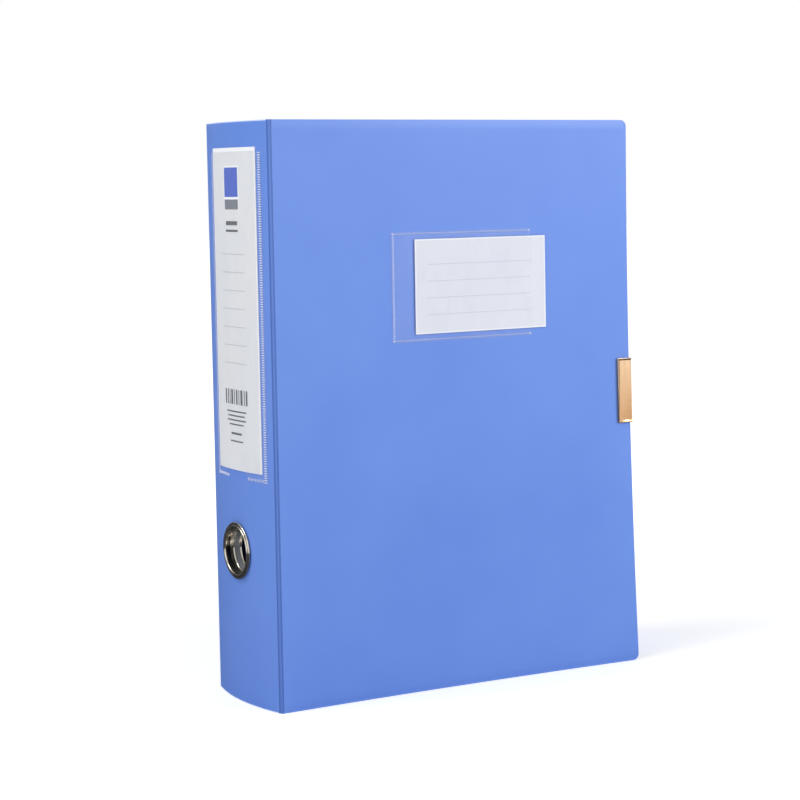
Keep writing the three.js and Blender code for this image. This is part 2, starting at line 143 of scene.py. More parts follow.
def two_tone(tree, factor, dark, light, low=0.3, high=0.7):
    """A colour that runs from one to the other while the factor goes from low to high."""
    ramp = add(tree, "ShaderNodeValToRGB", {"Fac": factor})
    ramp.color_ramp.elements[0].position = low
    ramp.color_ramp.elements[1].position = high
    ramp.color_ramp.elements[0].color = linear(dark)
    ramp.color_ramp.elements[1].color = linear(light)
    return ramp.outputs["Color"]


def colour_by(tree, shader, factor, dark, light, low=0.3, high=0.7):
    """Gives the shader a two-tone colour."""
    tree.links.new(two_tone(tree, factor, dark, light, low, high), shader.inputs["Base Color"])


def noise(tree, where, size_mm, detail, **more):
    """Noise whose features are about size_mm across."""
    sockets = {"Vector": where, "Scale": MM_PER_METRE / size_mm, "Detail": detail}
    sockets.update({name.capitalize(): value for name, value in more.items()})
    return add(tree, "ShaderNodeTexNoise", sockets).outputs["Fac"]


# %% [markdown]
# Polypropylene sheet is extruded between rollers. One side is frosted by the roller, so it has a very
# fine grain of about 0.4 mm, a soft sheen, and slight cloudiness over some centimetres. The grain is
# drawn a little coarser than it is, so that it still shows. The cut edges are painted pale, a painted
# highlight for the line of light they catch. The score lines of a fold and the strip between them are
# painted darker, as painted shade in the fold.

# %% Frosted polypropylene sheet
GRAIN_MM = 0.5
GRAIN_STRENGTH = 0.12
GRAIN_DEPTH = 0.1 * MM
CLOUD_MM = 70


def polypropylene(name, colour, cloud_colour):
    made, tree, shader, where = new_material(name, Roughness=0.42, IOR=1.49, Specular_IOR_Level=0.45)
    colour_by(tree, shader, noise(tree, where, CLOUD_MM, 3.0, roughness=0.5), colour, cloud_colour)
    fine = noise(tree, where, GRAIN_MM, 2.0, roughness=0.6)
    bump = add(tree, "ShaderNodeBump",
               {"Height": fine, "Strength": GRAIN_STRENGTH, "Distance": GRAIN_DEPTH})
    tree.links.new(bump.outputs["Normal"], shader.inputs["Normal"])
    return made


sheet_face = polypropylene("frosted_polypropylene", "#648BE0", "#6A91E4")
# The cut-edge finish is pale: a painted highlight for the line of light along the cut edges.
sheet_edge_highlight = polypropylene("polypropylene_painted_edge_highlight", "#D3E0FF", "#C6D6FC")
# The pressed and strip finishes are darker: painted shade in the score grooves and along the crease strip.
sheet_score_shade = polypropylene("polypropylene_painted_score_shade", "#4B70BF", "#5075C4")
sheet_crease_shade = polypropylene("polypropylene_painted_crease_shade", "#587ED1", "#5E84D6")
print("sheet grain %.1f mm, clouds %.0f mm" % (GRAIN_MM, CLOUD_MM))


# %% [markdown]
# A panel of the sheet is a closed shell over a grid of points. The outer and the inner face share the
# grid, and a rim joins them. The grid's columns shorten towards a rounded corner, so the corner is a
# true arc and the shell stays all quads.

# %% Shell helpers
def make_object(name, vertices, faces, materials, face_material=None, angle=30):
    mesh = bpy.data.meshes.new(name)
    mesh.from_pydata([tuple(v) for v in vertices], [], faces)
    for made in materials:
        mesh.materials.append(made)
    if face_material:
        mesh.polygons.foreach_set("material_index", face_material)
    shell = bmesh.new()
    shell.from_mesh(mesh)
    bmesh.ops.remove_doubles(shell, verts=shell.verts, dist=1e-7)
    bmesh.ops.recalc_face_normals(shell, faces=shell.faces)
    shell.to_mesh(mesh)
    shell.free()
    mesh.shade_smooth()
    mesh.set_sharp_from_angle(angle=math.radians(angle))
    made = bpy.data.objects.new(name, mesh)
    bpy.context.scene.collection.objects.link(made)
    return made


def shell_from_grids(name, outer, inner, materials, column_material=None, angle=30):
    """A closed shell between two grids of points. The rim takes the last material."""
    columns, rows = len(outer), len(outer[0])
    vertices = [p for grid in (outer, inner) for column in grid for p in column]
    below = columns * rows
    faces, chosen = [], []
    for i in range(columns - 1):
        for j in range(rows - 1):
            corner = i * rows + j
            quad = (corner, corner + 1, corner + rows + 1, corner + rows)
            faces.append(quad)
            faces.append(tuple(below + k for k in reversed(quad)))
            chosen += [column_material[i] if column_material else 0] * 2
    ring = [i * rows for i in range(columns)]
    ring += [(columns - 1) * rows + j for j in range(1, rows)]
    ring += [i * rows + rows - 1 for i in range(columns - 2, -1, -1)]
    ring += [j for j in range(rows - 2, 0, -1)]
    for k, here in enumerate(ring):
        after = ring[(k + 1) % len(ring)]
        faces.append((here, after, below + after, below + here))
        chosen.append(len(materials) - 1)
    return make_object(name, vertices, faces, materials, chosen, angle)


def plain_mesh(holder, name, materials=None):
    """Applies what the modifiers make and returns it as a new plain object."""
    depsgraph = bpy.context.evaluated_depsgraph_get()
    mesh = bpy.data.meshes.new_from_object(holder.evaluated_get(depsgraph), depsgraph=depsgraph)
    mesh.name = name
    bpy.data.objects.remove(holder)
    for made in materials or []:
        mesh.materials.append(made)
    made = bpy.data.objects.new(name, mesh)
    bpy.context.scene.collection.objects.link(made)
    return made


def bevel_edges(holder, width, segments=2, joined=None, edge_material=-1):
    """Rounds the sharp edges a little, apart from those that join the next piece of the sheet."""
    mesh = holder.data
    weight = mesh.attributes.new("bevel_weight_edge", "FLOAT", "EDGE")
    for edge in mesh.edges:
        ends = [mesh.vertices[k].co for k in edge.vertices]
        is_joined = joined is not None and all(joined(end) for end in ends)
        weight.data[edge.index].value = float(edge.use_edge_sharp and not is_joined)
    bevel = holder.modifiers.new("edges", "BEVEL")
    bevel.width = width
    bevel.segments = segments
    bevel.limit_method = "WEIGHT"
    bevel.material = edge_material


def soften_edges(holder, name, width, **how):
    bevel_edges(holder, width, **how)
    made = plain_mesh(holder, name)
    made.data.shade_smooth()
    made.data.set_sharp_from_angle(angle=math.radians(35))
    return made


# %% [markdown]
# The front cover and the back panel are the same cut shape. On the real box the cover is held only at the
# clasp, half-way up its free edge, so below it the free corner springs outwards by almost a centimetre.
# That slight flare is what makes the lower half of the free edge look curved. The cut edges are rounded
# a little and painted pale, a painted highlight which gives them their line of light.

# %% Front cover and back panel
CREASE_REACH = 1.0 * MM
PANEL_START = CREASE_LEG + CREASE_REACH
CORNER_STEPS = 8
PANEL_COLUMNS = 40
PANEL_ROWS = 56
CUT_ROUND = 0.55 * MM
NEAR = 0.1 * MM


def panel_columns():
    """X and the rounded corner's height for each column, from the crease to the free edge."""
    flat_end = WIDTH - CORNER_RADIUS
    columns = [(PANEL_START + (flat_end - PANEL_START) * i / PANEL_COLUMNS, 0.0)
               for i in range(PANEL_COLUMNS)]
    for step in range(CORNER_STEPS + 1):
        turn = math.pi / 2 * step / CORNER_STEPS
        columns.append((flat_end + CORNER_RADIUS * math.sin(turn), CORNER_RADIUS * (1 - math.cos(turn))))
    return columns


def panel_grid(outer_y, inward, depth, flared):
    grid = []
    for x, cut in panel_columns():
        column = []
        for j in range(PANEL_ROWS + 1):
            z = cut + (HEIGHT - 2 * cut) * j / PANEL_ROWS
            out = flare(x, z) if flared else 0.0
            column.append(Vector((LEFT + x, outer_y + inward * depth - out, z)))
        grid.append(column)
    return grid


def panel(name, outer_y, inward, flared=False):
    outer = panel_grid(outer_y, inward, 0.0, flared)
    inner = panel_grid(outer_y, inward, SHEET, flared)
    made = shell_from_grids(name + "_raw", outer, inner, [sheet_face, sheet_edge_highlight])
    return soften_edges(made, name, CUT_ROUND, edge_material=1,
                        joined=lambda end: end.x < LEFT + PANEL_START + NEAR)


cover_sheet = panel("cover_sheet", FRONT, 1, flared=True)
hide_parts("front_cover")
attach(cover_sheet, "cover")
back_sheet = panel("back_sheet", FRONT + DEPTH, -1)
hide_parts("back_panel")
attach(back_sheet, "tray")
print("cover sheet has %d faces" % len(cover_sheet.data.polygons))


# %% [markdown]
# The spine is the middle panel of the sheet, and it bows outwards: an arc through both crease edges.
# Round the finger ring it is pressed flat, with a short slope back to the bow. The hole is cut by a
# boolean, because a round hole in a grid of quads is simplest that way, and the ring hides its edge.

# %% Bowed spine with its pressed seat
ring_low, ring_high = (Vector(corner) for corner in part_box("finger_ring"))
RING_Z = (ring_low.z + ring_high.z) / 2
RING_OUTER = (ring_high.z - ring_low.z) / 2
RING_PROUD = 2 * MM
SEAT_X = ring_low.x + RING_PROUD
SEAT_MARGIN = 0.7 * MM
SEAT_RADIUS = RING_OUTER + SEAT_MARGIN
SEAT_SLOPE = 4 * MM
HOLE_RADIUS = 13.6 * MM
HOLE_STEPS = 64
PUNCH_LENGTH = 20 * MM
SPINE_COLUMNS = 48
SPINE_ROWS = 150
SPINE_START = FRONT + PANEL_START
SPINE_END = FRONT + DEPTH - PANEL_START


def spine_x(y, z, inside):
    away = math.hypot(y - MIDDLE, z - RING_Z) - SEAT_RADIUS
    blend = min(max(away / SEAT_SLOPE, 0.0), 1.0)
    blend = blend * blend * (3 - 2 * blend)
    return (SEAT_X + inside) * (1 - blend) + bow_x(y, -inside) * blend


def spine_grid(inside):
    grid = []
    for i in range(SPINE_COLUMNS + 1):
        y = SPINE_START + (SPINE_END - SPINE_START) * i / SPINE_COLUMNS
        heights = [HEIGHT * j / SPINE_ROWS for j in range(SPINE_ROWS + 1)]
        grid.append([Vector((spine_x(y, z, inside), y, z)) for z in heights])
    return grid


raw_spine = shell_from_grids("spine_raw", spine_grid(0.0), spine_grid(SHEET), [sheet_face, sheet_edge_highlight])
punch_mesh = bpy.data.meshes.new("ring_hole_punch")
punch = bmesh.new()
through_seat = Matrix.Translation((SEAT_X, MIDDLE, RING_Z)) @ Matrix.Rotation(math.pi / 2, 4, "Y")
bmesh.ops.create_cone(punch, cap_ends=True, segments=HOLE_STEPS, radius1=HOLE_RADIUS,
                      radius2=HOLE_RADIUS, depth=PUNCH_LENGTH, matrix=through_seat)
punch.to_mesh(punch_mesh)
punch.free()
punch_object = bpy.data.objects.new("ring_hole_punch", punch_mesh)
bpy.context.scene.collection.objects.link(punch_object)
# The rounded cut edges take the pale painted edge highlight.
bevel_edges(raw_spine, CUT_ROUND, edge_material=1,
            joined=lambda end: min(end.y - SPINE_START, SPINE_END - end.y) < NEAR)
cut = raw_spine.modifiers.new("hole", "BOOLEAN")
cut.operation = "DIFFERENCE"
cut.object = punch_object
spine_sheet = plain_mesh(raw_spine, "spine_sheet")
bpy.data.objects.remove(punch_object)
spine_sheet.data.shade_smooth()
spine_sheet.data.set_sharp_from_angle(angle=math.radians(30))
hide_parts("spine_panel")
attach(spine_sheet, "spine")
print("spine bows out %.1f mm on a radius of %.0f mm" % (SPINE_BOW / MM, BOW_RADIUS / MM))


# %% [markdown]
# Between the spine and each panel lies a narrow strip, pressed into the sheet between two score lines,
# so that the sheet folds there and keeps a neat edge. The strip is a mesh of its own that is blended
# across the joint: its one side stays with the spine and its other side with the panel.

# %% Crease strips
SCORE_DEPTH = 0.42 * MM
SCORE_HALF = 0.5 * MM
CREASE_ROWS = 40


def crease_section():
    """Outer and inner outline of the front crease, as distances from the sheet's corner."""
    leg, reach, half = CREASE_LEG, CREASE_REACH, SCORE_HALF
    diagonal = half / math.sqrt(2)
    score_side, score_bottom = 0.4 * SCORE_DEPTH, 0.9 * SCORE_DEPTH
    mitre, inner_bend = leg + 0.45 * SHEET, leg + 0.8 * reach
    inner_corner = 1.2 * SHEET
    just_before = mitre - 0.02 * MM

    def spine_at(y, inside):
        return bow_x(FRONT + y, -inside) - LEFT, y

    outer = [
        spine_at(leg + reach, 0.0), spine_at(leg + half, 0.0),
        (score_bottom, leg + score_side),
        (diagonal, leg - diagonal), (leg / 2, leg / 2), (leg - diagonal, diagonal),
        (leg + score_side, score_bottom),
        (leg + half, 0.0), (leg + reach, 0.0),
    ]
    inner = [
        spine_at(leg + reach, SHEET), spine_at(inner_bend, SHEET),
        (SHEET * 0.95, mitre), (SHEET * 0.98, just_before), (inner_corner, inner_corner),
        (just_before, SHEET * 0.98), (mitre, SHEET * 0.97),
        (inner_bend, SHEET), (leg + reach, SHEET),
    ]
    return outer, inner


def crease_strip(name, at_back):
    outer, inner = crease_section()

    def grid(section):
        return [[Vector((LEFT + x, FRONT + (DEPTH - y if at_back else y), HEIGHT * j / CREASE_ROWS))
                 for j in range(CREASE_ROWS + 1)] for x, y in section]

    # The score lines and the strip take darker finishes, painted shade of the fold; the rim takes the pale
    # painted edge highlight.
    materials = [sheet_face, sheet_score_shade, sheet_crease_shade, sheet_edge_highlight]
    across_strip = [0, 1, 1, 2, 2, 1, 1, 0]
    made = shell_from_grids(name, grid(outer), grid(inner), materials, across_strip, angle=35)
    return made


front_crease = crease_strip("front_crease", at_back=False)
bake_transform(front_crease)
back_crease = crease_strip("back_crease", at_back=True)
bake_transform(back_crease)
print("crease strips are %.1f mm wide" % (CREASE_LEG * math.sqrt(2) / MM))

# %% [markdown]
# The inner walls are folded from a second strip of the same sheet. The plain solid has the right form,
# so it only gets the finish. The magnet behind the return flap is a dark plated block.

# %% Inner walls and magnet
SPECKLE_MM = 1.5
magnet_plate, tree, shader, where = new_material("dark_plated_magnet", Metallic=0.7, Roughness=0.45)
colour_by(tree, shader, noise(tree, where, SPECKLE_MM, 4.0), "#3A3C40", "#55585E", 0.0, 1.0)


def finish_node(name, made):
    obj = bpy.data.objects[name]
    obj.data.materials.clear()
    obj.data.materials.append(made)


for node_name, made in (("wall_strip", sheet_face), ("clasp_magnet", magnet_plate)):
    finish_node(node_name, made)
print("inner walls and magnet finished")


# %% [markdown]
# The finger ring is drawn from thin sheet and nickel plated: a flange with two rolled beads, and a deep
# barrel that flares at both ends. Polished nickel is slightly warm and mirrors the room, so nearly all of
# its look is its section. The section is turned about the ring's axis in fine steps. Inside the barrel a
# short slope catches the light, the wall behind it is satin and narrows a little, and a second slope
# leads to the rear lip.

# %% Finger ring
RING_BORE = 12.8 * MM
RING_DEPTH = 7 * MM
RING_WALL = 0.6 * MM
RING_STEPS = 128
SMEAR_MM = 6


def nickel_plate(name, colour, smooth_at, rough_at):
    made, tree, shader, where = new_material(name, Metallic=1.0, Base_Color=linear(colour))
    smear = noise(tree, where, SMEAR_MM, 3.0)
    polish = add(tree, "ShaderNodeMapRange", {"Value": smear, "To Min": smooth_at, "To Max": rough_at})
    tree.links.new(polish.outputs["Result"], shader.inputs["Roughness"])
    return made


nickel = nickel_plate("polished_nickel", "#B9B3A8", 0.09, 0.18)
satin_nickel = nickel_plate("satin_nickel", "#A3A8AF", 0.42, 0.55)


def arc(centre_r, centre_out, radius, start, end, steps=10, rise=None):
    """Section points on an arc, as (radius, height out of the spine)."""
    rise = radius if rise is None else rise
    points = []
    for step in range(steps + 1):
        turn = math.radians(start + (end - start) * step / steps)
        points.append((centre_r + radius * math.cos(turn), centre_out + rise * math.sin(turn)))
    return points


def lathe(name, section, materials, satin=(0, 0), angle=40):
    """Turns a closed section about the ring's axis. The second material covers the satin steps."""
    count = len(section)
    vertices, faces = [], []
    for step in range(RING_STEPS):
        turn = 2 * math.pi * step / RING_STEPS
        for radius, out in section:
            y, z = MIDDLE + radius * math.cos(turn), RING_Z + radius * math.sin(turn)
            vertices.append((SEAT_X - out, y, z))
    for step in range(RING_STEPS):
        after = (step + 1) % RING_STEPS
        for k in range(count):
            k2 = (k + 1) % count
            faces.append((step * count + k, step * count + k2, after * count + k2, after * count + k))
    chosen = [int(satin[0] <= k < satin[1]) for k in range(count)] * RING_STEPS
    return make_object(name, vertices, faces, materials, chosen, angle=angle)


# The section starts behind the flange, goes round its rolled rim, over the two beads, into the barrel and
# back behind its wall.
FLANGE_IN = 1.3 * MM
UNDERCUT_IN = 1.1 * MM
UNDERCUT = 0.55 * MM
RIM_ROLL = 0.3 * MM
BEAD = (RING_OUTER - RING_BORE) / 4
OUTER_BEAD_OUT, OUTER_BEAD_RISE = 0.9 * MM, 0.75 * MM
INNER_BEAD_OUT, INNER_BEAD_RISE = 1.05 * MM, 0.95 * MM
MOUTH = 0.1 * MM
SLOPE_MM = 3.2
BARREL_MM = 8.6
LIP_IN, LIP_RADIUS, LIP_RISE = 0.75 * MM, 0.65 * MM, 0.6 * MM


def in_barrel(*steps):
    """Section points from how far each is inside the bore and how deep, both in millimetres."""
    return [(RING_BORE - inside * MM, -deep * MM) for inside, deep in steps]


section = [(RING_BORE + RING_WALL, 0.0), (RING_OUTER - FLANGE_IN, 0.0),
           (RING_OUTER - UNDERCUT_IN, UNDERCUT)]
section += arc(RING_OUTER - RIM_ROLL, UNDERCUT + 0.25 * MM, RIM_ROLL, -80, 0, 4)
section += arc(RING_OUTER - BEAD, OUTER_BEAD_OUT, BEAD, 0, 160, 12, rise=OUTER_BEAD_RISE)
section += arc(RING_BORE + BEAD + MOUTH, INNER_BEAD_OUT, BEAD, 25, 180, 14, rise=INNER_BEAD_RISE)
section += in_barrel((-0.1, -0.2), (0, 1.0), (0, SLOPE_MM), (0.18, SLOPE_MM + 0.35),
                     (0.42, SLOPE_MM + 0.75))
satin_from = len(section)
section += in_barrel((0.45, SLOPE_MM + 0.9), (0.8, BARREL_MM - 1.7))
satin_to = len(section) - 1
section += in_barrel((1.05, BARREL_MM - 1.25), (1.35, BARREL_MM - 0.75))
section += arc(RING_BORE - LIP_IN, LIP_RISE - BARREL_MM * MM, LIP_RADIUS, 180, 260, 6, rise=LIP_RISE)
section += [(RING_BORE + RING_WALL, -BARREL_MM * MM), (RING_BORE + RING_WALL, 0.5 * MM - RING_DEPTH)]
ring_polished = lathe("ring_polished", section, [nickel, satin_nickel], (satin_from, satin_to))
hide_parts("finger_ring")
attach(ring_polished, "spine")
finish_node("finger_ring_collar", nickel)
print("finger ring is %.1f mm across" % (2 * RING_OUTER / MM))

# %% [markdown]
# The clasp is one strip of metal folded round the cover's edge, plated a pale gold and polished. Its
# front leaf has a sunken field with sloping sides. The solid already has that form, so its edges are
# only rounded a little and painted a paler gold, a painted highlight which gives each one its line of
# light. The clasp follows the cover's free edge outwards. The field is left plain. Its gold runs a
# little darker and redder towards the lower end.

# %% Edge clasp
CLASP_EDGE = 0.2 * MM
BRUSH_MM = 0.35
EDGE_MOTTLE_MM = 0.9

clasp_low, clasp_high = (Vector(corner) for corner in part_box("edge_clasp"))
gold, tree, shader, where = new_material("pale_gold_plate", Metallic=1.0)
stretch = add(tree, "ShaderNodeMapping", {"Vector": where, "Scale": (1.0, 1.0, 0.05)})
hair = noise(tree, stretch.outputs["Vector"], BRUSH_MM, 2.0)
polish = add(tree, "ShaderNodeMapRange", {"Value": hair, "To Min": 0.10, "To Max": 0.20})
tree.links.new(polish.outputs["Result"], shader.inputs["Roughness"])
height = add(tree, "ShaderNodeSeparateXYZ", {"Vector": where}).outputs["Z"]
warmth = add(tree, "ShaderNodeMapRange",
             {"Value": height, "From Min": clasp_low.z, "From Max": clasp_high.z})
colour_by(tree, shader, warmth.outputs["Result"], "#D0A278", "#DEBB96", 0.1, 0.9)
# The edge finish is a painted highlight: a paler gold for the line of light along each rounded edge.
clasp_edge_highlight, tree, shader, where = new_material("clasp_painted_edge_highlight", Metallic=1.0, Roughness=0.38)
colour_by(tree, shader, noise(tree, where, EDGE_MOTTLE_MM, 2.0), "#E9DCC8", "#F4ECDD")


def merged_copy(node_name, name, materials):
    """A copy of a solid whose loose triangles are joined, with flat faces dissolved."""
    shell = bmesh.new()
    shell.from_mesh(bpy.data.objects[node_name].data)
    bmesh.ops.remove_doubles(shell, verts=shell.verts, dist=1e-6)
    bmesh.ops.dissolve_limit(shell, angle_limit=math.radians(1), verts=shell.verts, edges=shell.edges)
    mesh = bpy.data.meshes.new(name)
    shell.to_mesh(mesh)
    shell.free()
    for made in materials:
        mesh.materials.append(made)
    mesh.set_sharp_from_angle(angle=math.radians(25))
    made = bpy.data.objects.new(name, mesh)
    bpy.context.scene.collection.objects.link(made)
    return made


clasp = soften_edges(merged_copy("edge_clasp", "clasp_raw", [gold, clasp_edge_highlight]), "clasp_plate", CLASP_EDGE,
                     segments=3, edge_material=1)
for point in clasp.data.vertices:
    point.co.y -= flare(point.co.x - LEFT, point.co.z)
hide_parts("edge_clasp")
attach(clasp, "cover")
print("clasp has %d faces" % len(clasp.data.polygons))


# %% [markdown]
# Each card is white board about 0.4 mm thick. Its print is kept to fields of colour, ruled lines and
# plain bars: no word or mark is drawn. The print is a skin of thin strips just above the card. A card in
# a pocket stands a little off the sheet, which leaves a dark line along the edge that the eye looks under.

# %% Card and ink finishes
FIBRE_MM = 0.8
INK_THICK = 0.03 * MM
INK_STEP = 1 * MM


def card_stock(name, colour, fleck):
    made, tree, shader, where = new_material(name, Roughness=0.72)
    colour_by(tree, shader, noise(tree, where, FIBRE_MM, 4.0), fleck, colour)
    return made


white_card = card_stock("white_card", "#E2E5EE", "#DDE0E9")
# This brighter white is the card's white print and rims, and also a painted highlight along the card's cut
# edges.
card_white_and_edge_highlight = card_stock("card_white_and_edge_highlight", "#F6F8FC", "#F1F3F8")
tinted_card = card_stock("tinted_card", "#E2E5E9", "#DEE0E4")
blue_ink = card_stock("blue_ink", "#4C69CC", "#4764C7")
grey_ink = card_stock("grey_ink", "#7A828E", "#737B87")
line_ink = card_stock("line_ink", "#C3C6CE", "#BBBFC7")
faint_ink = card_stock("faint_ink", "#CFD2DC", "#C9CCD6")
dark_ink = card_stock("dark_ink", "#60656D", "#585D65")


def strip_patches(name, patches, place, out, materials):
    """Thin patches of print: each is (u0, u1, z0, z1, material), laid on a surface by place."""
    vertices, faces, chosen = [], [], []
    for u0, u1, z0, z1, index in patches:
        steps = max(1, round((u1 - u0) / INK_STEP))
        for layer in (out, out - INK_THICK):
            for i in range(steps + 1):
                u = u0 + (u1 - u0) * i / steps
                vertices += [place(u, z0, layer), place(u, z1, layer)]
        start = len(vertices) - 4 * (steps + 1)
        under = start + 2 * (steps + 1)
        for i in range(steps):
            a, b = start + 2 * i, under + 2 * i
            faces += [(a, a + 2, a + 3, a + 1), (b + 1, b + 3, b + 2, b),
                      (a, b, b + 2, a + 2), (a + 1, a + 3, b + 3, b + 1)]
            chosen += [index] * 4
        last, last_under = start + 2 * steps, under + 2 * steps
        faces += [(start, start + 1, under + 1, under), (last, last_under, last_under + 1, last + 1)]
        chosen += [index] * 2
    return make_object(name, vertices, faces, materials, chosen, angle=0)


# %% Spine card and its print
card_low, card_high = (Vector(corner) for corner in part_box("spine_label_card"))
CARD = 0.35 * MM
CARD_GAP = 0.6 * MM
SPINE_CARD_GAP = 0.15 * MM
CARD_FACE = CARD_GAP + CARD
SPINE_CARD_FACE = SPINE_CARD_GAP + CARD
GROUND_OUT = 0.05 * MM
PRINT_OUT = 0.1 * MM
SPINE_CARD_HALF = (card_high.y - card_low.y) / 2
POCKET_MIDDLE = (card_high.y + card_low.y) / 2


def spine_leaf(half_width, z0, z1, out, steps=24, rows=40):
    heights = [z0 + (z1 - z0) * j / rows for j in range(rows + 1)]
    return [[on_spine(POCKET_MIDDLE - half_width + 2 * half_width * i / steps, z, out) for z in heights]
            for i in range(steps + 1)]


spine_card = shell_from_grids(
    "spine_card", spine_leaf(SPINE_CARD_HALF, card_low.z, card_high.z, SPINE_CARD_FACE),
    spine_leaf(SPINE_CARD_HALF, card_low.z, card_high.z, SPINE_CARD_GAP), [white_card, card_white_and_edge_highlight])
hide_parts("spine_label_card")
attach(spine_card, "spine")

# The layout is in millimetres: distances from the card's middle and heights above the foot of the box.
# Each patch is (left, right, low, high, ink). Patches of the ground don't overlap.
BLUE, GREY, RULE, DARK, WHITE, TINT = range(6)
INKS = [blue_ink, grey_ink, line_ink, dark_ink, card_white_and_edge_highlight, tinted_card]
CARD_FOOT = card_low.z / MM
CARD_TOP = card_high.z / MM
FILM_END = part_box("spine_pocket_film")[1][2] / MM
# The pale margin at each side of the spine card, EDGE_LINE wide, is a painted highlight of its cut edge.
EDGE_LINE = 0.9
FIELD_HALF, FRAME_HALF = 7.6, 8.4
TINT_FOOT, HEAD_FOOT = 131, 267.5
GREY_FOOT, GREY_TOP = 272.7, 278.1
BLUE_FOOT, BLUE_TOP, FRAME_TOP = 279.4, 295.3, 296.2
card_half = SPINE_CARD_HALF / MM
line_in = card_half - EDGE_LINE
ground = [
    (-FRAME_HALF, FRAME_HALF, BLUE_TOP, FRAME_TOP, WHITE),
    (-FRAME_HALF, -FIELD_HALF, GREY_FOOT, BLUE_TOP, WHITE),
    (FIELD_HALF, FRAME_HALF, GREY_FOOT, BLUE_TOP, WHITE),
    (-FIELD_HALF, FIELD_HALF, GREY_TOP, BLUE_FOOT, WHITE),
    (-FIELD_HALF, FIELD_HALF, BLUE_FOOT, BLUE_TOP, BLUE),
    (-FIELD_HALF, FIELD_HALF, GREY_FOOT, GREY_TOP, GREY),
    (-line_in, -FRAME_HALF, TINT_FOOT, FILM_END, TINT),
    (FRAME_HALF, line_in, TINT_FOOT, FILM_END, TINT),
    (-FRAME_HALF, FRAME_HALF, FRAME_TOP, FILM_END, TINT),
    (-FRAME_HALF, FRAME_HALF, HEAD_FOOT, GREY_FOOT, TINT),
    (-FRAME_HALF, FRAME_HALF, TINT_FOOT, HEAD_FOOT, TINT),
    (-card_half, card_half, FILM_END, CARD_TOP, WHITE),
    (-card_half, -line_in, CARD_FOOT, FILM_END, WHITE),
    (line_in, card_half, CARD_FOOT, FILM_END, WHITE),
]
RULE_COUNT = 7
RULE_TOP = 248.6
RULE_PITCH = 9.9
RULE_HALF = 12.5
RULE_THICK = 0.44
rule_heights = [RULE_TOP - RULE_PITCH * rule for rule in range(RULE_COUNT)]
raised = [(-RULE_HALF, RULE_HALF, z - RULE_THICK / 2, z + RULE_THICK / 2, RULE) for z in rule_heights]
BAR_FOOT, BAR_TOP = 166.5, 174.7
BAR_EDGES = ((-12.5, -11.0), (-9.8, -9.0), (-7.6, -5.4), (-4.2, -3.4), (-2.2, -0.6), (0.8, 1.6), (2.9, 5.1),
             (6.2, 7.0), (8.2, 9.4), (10.9, 12.5))
raised += [(left, right, BAR_FOOT, BAR_TOP, DARK) for left, right in BAR_EDGES]
# Plain lines stand for the words: (middle height, half width, thickness)
PLAIN_LINES = ((265.3, 6.4, 2.2), (261.2, 6.8, 1.2), (162.6, 11.0, 0.8), (160.2, 9.5, 0.8),
               (157.8, 10.5, 0.8), (155.4, 8.0, 0.8), (150.4, 6.0, 1.2), (146.2, 7.0, 0.8))
raised += [(-wide, wide, z - thick / 2, z + thick / 2, DARK) for z, wide, thick in PLAIN_LINES]


def in_metres(rows):
    return [(a * MM, b * MM, c * MM, d * MM, ink) for a, b, c, d, ink in rows]


def on_spine_card(u, z, out):
    return on_spine(POCKET_MIDDLE + u, z, out)


spine_ground = strip_patches("spine_card_ground", in_metres(ground), on_spine_card,
                             SPINE_CARD_FACE + GROUND_OUT, INKS)
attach(spine_ground, "spine")
spine_print = strip_patches("spine_card_print", in_metres(raised), on_spine_card,
                            SPINE_CARD_FACE + PRINT_OUT, INKS)
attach(spine_print, "spine")
print("spine card has %d printed patches" % (len(ground) + len(raised)))

# %% Cover card and its ruled lines
cover_card_low, cover_card_high = (Vector(corner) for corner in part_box("cover_label_card"))


def cover_leaf(x0, x1, z0, z1, out, steps=12, rows=8):
    return [[on_cover(x0 + (x1 - x0) * i / steps, z0 + (z1 - z0) * j / rows, out)
             for j in range(rows + 1)] for i in range(steps + 1)]


card_x0, card_x1 = cover_card_low.x - LEFT, cover_card_high.x - LEFT
cover_card = shell_from_grids(
    "cover_card",
    cover_leaf(card_x0, card_x1, cover_card_low.z, cover_card_high.z, CARD_FACE),
    cover_leaf(card_x0, card_x1, cover_card_low.z, cover_card_high.z, CARD_GAP), [white_card, card_white_and_edge_highlight])
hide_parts("cover_label_card")
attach(cover_card, "cover")
COVER_RULE_COUNT = 4
COVER_RULE_TOP = 240.4
COVER_RULE_PITCH = 9.3
COVER_RULE_THICK = 0.4
COVER_RULE_ENDS = (96.5, 166)
# The pale bands along the cover card's four edges are a painted highlight of its cut edge.
LEVEL_EDGE, UPRIGHT_EDGE = 0.7, 0.8
FAINT, PAINTED_EDGE_LIGHT = range(2)
heights = [COVER_RULE_TOP - COVER_RULE_PITCH * rule for rule in range(COVER_RULE_COUNT)]
rules = [(*COVER_RULE_ENDS, z - COVER_RULE_THICK / 2, z + COVER_RULE_THICK / 2, FAINT) for z in heights]
x0, x1 = card_x0 / MM, card_x1 / MM
z0, z1 = cover_card_low.z / MM, cover_card_high.z / MM
z0_in, z1_in = z0 + LEVEL_EDGE, z1 - LEVEL_EDGE
rules += [(x0, x1, z0, z0_in, PAINTED_EDGE_LIGHT), (x0, x1, z1_in, z1, PAINTED_EDGE_LIGHT),
          (x0, x0 + UPRIGHT_EDGE, z0_in, z1_in, PAINTED_EDGE_LIGHT), (x1 - UPRIGHT_EDGE, x1, z0_in, z1_in, PAINTED_EDGE_LIGHT)]
cover_rules = strip_patches("cover_card_rules", in_metres(rules), on_cover, CARD_FACE + GROUND_OUT,
                            [faint_ink, card_white_and_edge_highlight])
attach(cover_rules, "cover")
print("cover card slides out to x %.1f mm" % (card_x1 / MM))
